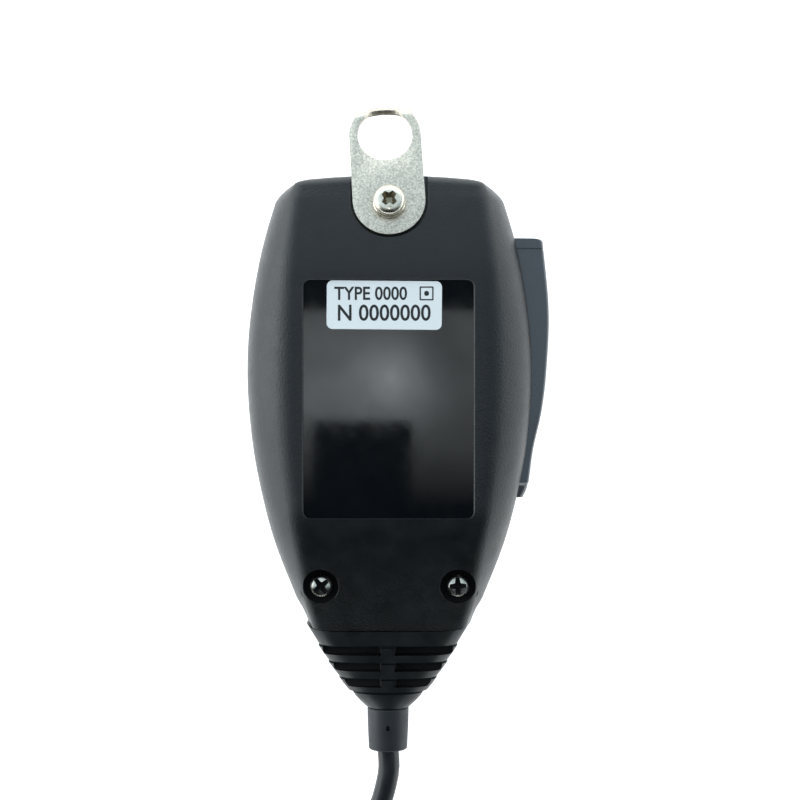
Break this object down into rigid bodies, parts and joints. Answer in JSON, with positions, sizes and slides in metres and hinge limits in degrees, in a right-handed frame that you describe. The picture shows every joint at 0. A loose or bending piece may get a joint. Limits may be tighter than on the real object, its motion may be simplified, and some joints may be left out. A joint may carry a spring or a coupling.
{
  "type": "hand microphone",
  "caption": "Hand microphone with push-to-talk lever, keypad, grille, hanger plate with an eye, ribbed boot, and a curly cord ending in a round plug.",
  "frame": {"origin": "on the rest plane, under the middle of the microphone without its free cord and plug", "axes": "+Z out of the back of the case, which faces up; +Y along the case from the cord to the hanger; +X towards the push-to-talk lever"},
  "size_m": [0.0801, 0.3115, 0.0318],
  "materials": {
    "rear_shell": "fine spark texture, gloss in the panel",
    "front_shell": "fine spark texture",
    "label_film": "printed film, satin",
    "strap_steel": "nickel plated, tumbled",
    "bright_steel": "zinc plated",
    "black_steel": "black oxide, worn at the recess",
    "insert_brass": "plain",
    "lever_plastic": "semi-gloss",
    "boot_rubber": "matte",
    "sleeve_rubber": "satin",
    "cord_jacket": "satin",
    "key_plastic": "satin with printed marks",
    "mat_silicone": "matte",
    "board_laminate": "solder resist",
    "chip_resin": "moulded",
    "capacitor_sleeve": "shrunk sleeve",
    "socket_nylon": "moulded",
    "led_lens": "clear resin, unlit",
    "capsule_aluminium": "plain",
    "dust_cloth": "woven",
    "plunger_nylon": "moulded",
    "plug_chrome": "satin nickel",
    "ring_chrome": "knurled",
    "insert_resin": "moulded"
  },
  "bodies": {
    "case": {"board_screw_1": "bright_steel", "board_screw_2": "bright_steel", "board_screw_3": "bright_steel", "board_screw_4": "bright_steel", "capacitor": "capacitor_sleeve", "capsule_holder": "boot_rubber", "case_screw_left": "black_steel", "case_screw_right": "black_steel", "circuit_board": "board_laminate", "clamp_screw_left": "bright_steel", "clamp_screw_right": "bright_steel", "controller_ic": "chip_resin", "cord_boot": "boot_rubber", "cord_clamp": "bright_steel", "cord_curl": "cord_jacket", "cord_end": "cord_jacket", "cord_lead": "cord_jacket", "cord_sleeve": "sleeve_rubber", "cord_tail": "cord_jacket", "crystal": "bright_steel", "dust_screen": "dust_cloth", "front_cover": "front_shell", "hanger_insert": "insert_brass", "hanger_plate": "strap_steel", "hanger_screw": "bright_steel", "hanger_washer": "bright_steel", "keypad_mat": "mat_silicone", "label": "label_film", "mic_capsule": "capsule_aluminium", "plug_boot": "boot_rubber", "plug_insert": "insert_resin", "plug_shell": "plug_chrome", "ptt_switch": "chip_resin", "rear_cover": "rear_shell", "status_led": "led_lens", "wire_socket": "socket_nylon"},
    "ptt_lever": {"ptt_lever": "lever_plastic"},
    "ptt_plunger": {"ptt_plunger": "plunger_nylon"},
    "plug_ring": {"plug_ring": "ring_chrome"},
    "key_1": {"key_1": "key_plastic"},
    "key_2": {"key_2": "key_plastic"},
    "key_3": {"key_3": "key_plastic"},
    "key_a": {"key_a": "key_plastic"},
    "key_4": {"key_4": "key_plastic"},
    "key_5": {"key_5": "key_plastic"},
    "key_6": {"key_6": "key_plastic"},
    "key_b": {"key_b": "key_plastic"},
    "key_7": {"key_7": "key_plastic"},
    "key_8": {"key_8": "key_plastic"},
    "key_9": {"key_9": "key_plastic"},
    "key_c": {"key_c": "key_plastic"},
    "key_star": {"key_star": "key_plastic"},
    "key_0": {"key_0": "key_plastic"},
    "key_hash": {"key_hash": "key_plastic"},
    "key_d": {"key_d": "key_plastic"},
    "up_key": {"up_key": "key_plastic"},
    "down_key": {"down_key": "key_plastic"}
  },
  "joints": [
    {"name": "ptt_press", "type": "hinge", "parent": "case", "child": "ptt_lever", "pos_m": [0.02287, -0.01238, 0.0115], "axis": [0, 0, 1], "range_deg": [0, 3], "stiffness_Nm_per_rad": 2, "springref_deg": -1.72},
    {"name": "ptt_plunger_travel", "type": "slide", "parent": "case", "child": "ptt_plunger", "axis": [-1, 0, 0], "range_m": [0, 0.00106]},
    {"name": "key_1_press", "type": "slide", "parent": "case", "child": "key_1", "axis": [0, 0, 1], "range_m": [0, 0.0008], "stiffness_N_per_m": 1500, "springref_m": -0.0002},
    {"name": "key_2_press", "type": "slide", "parent": "case", "child": "key_2", "axis": [0, 0, 1], "range_m": [0, 0.0008], "stiffness_N_per_m": 1500, "springref_m": -0.0002},
    {"name": "key_3_press", "type": "slide", "parent": "case", "child": "key_3", "axis": [0, 0, 1], "range_m": [0, 0.0008], "stiffness_N_per_m": 1500, "springref_m": -0.0002},
    {"name": "key_a_press", "type": "slide", "parent": "case", "child": "key_a", "axis": [0, 0, 1], "range_m": [0, 0.0008], "stiffness_N_per_m": 1500, "springref_m": -0.0002},
    {"name": "key_4_press", "type": "slide", "parent": "case", "child": "key_4", "axis": [0, 0, 1], "range_m": [0, 0.0008], "stiffness_N_per_m": 1500, "springref_m": -0.0002},
    {"name": "key_5_press", "type": "slide", "parent": "case", "child": "key_5", "axis": [0, 0, 1], "range_m": [0, 0.0008], "stiffness_N_per_m": 1500, "springref_m": -0.0002},
    {"name": "key_6_press", "type": "slide", "parent": "case", "child": "key_6", "axis": [0, 0, 1], "range_m": [0, 0.0008], "stiffness_N_per_m": 1500, "springref_m": -0.0002},
    {"name": "key_b_press", "type": "slide", "parent": "case", "child": "key_b", "axis": [0, 0, 1], "range_m": [0, 0.0008], "stiffness_N_per_m": 1500, "springref_m": -0.0002},
    {"name": "key_7_press", "type": "slide", "parent": "case", "child": "key_7", "axis": [0, 0, 1], "range_m": [0, 0.0008], "stiffness_N_per_m": 1500, "springref_m": -0.0002},
    {"name": "key_8_press", "type": "slide", "parent": "case", "child": "key_8", "axis": [0, 0, 1], "range_m": [0, 0.0008], "stiffness_N_per_m": 1500, "springref_m": -0.0002},
    {"name": "key_9_press", "type": "slide", "parent": "case", "child": "key_9", "axis": [0, 0, 1], "range_m": [0, 0.0008], "stiffness_N_per_m": 1500, "springref_m": -0.0002},
    {"name": "key_c_press", "type": "slide", "parent": "case", "child": "key_c", "axis": [0, 0, 1], "range_m": [0, 0.0008], "stiffness_N_per_m": 1500, "springref_m": -0.0002},
    {"name": "key_star_press", "type": "slide", "parent": "case", "child": "key_star", "axis": [0, 0, 1], "range_m": [0, 0.0008], "stiffness_N_per_m": 1500, "springref_m": -0.0002},
    {"name": "key_0_press", "type": "slide", "parent": "case", "child": "key_0", "axis": [0, 0, 1], "range_m": [0, 0.0008], "stiffness_N_per_m": 1500, "springref_m": -0.0002},
    {"name": "key_hash_press", "type": "slide", "parent": "case", "child": "key_hash", "axis": [0, 0, 1], "range_m": [0, 0.0008], "stiffness_N_per_m": 1500, "springref_m": -0.0002},
    {"name": "key_d_press", "type": "slide", "parent": "case", "child": "key_d", "axis": [0, 0, 1], "range_m": [0, 0.0008], "stiffness_N_per_m": 1500, "springref_m": -0.0002},
    {"name": "up_key_press", "type": "slide", "parent": "case", "child": "up_key", "axis": [0, 0, 1], "range_m": [0, 0.0008], "stiffness_N_per_m": 1500, "springref_m": -0.0002},
    {"name": "down_key_press", "type": "slide", "parent": "case", "child": "down_key", "axis": [0, 0, 1], "range_m": [0, 0.0008], "stiffness_N_per_m": 1500, "springref_m": -0.0002},
    {"name": "plug_ring_turn", "type": "hinge", "parent": "case", "child": "plug_ring", "pos_m": [0.03587, -0.17518, 0.0096], "axis": [0, -1, 0], "continuous": true}
  ],
  "couplings": [
    {"joint": "ptt_plunger_travel", "follows": "ptt_press", "m_per_rad": 0.0195}
  ]
}
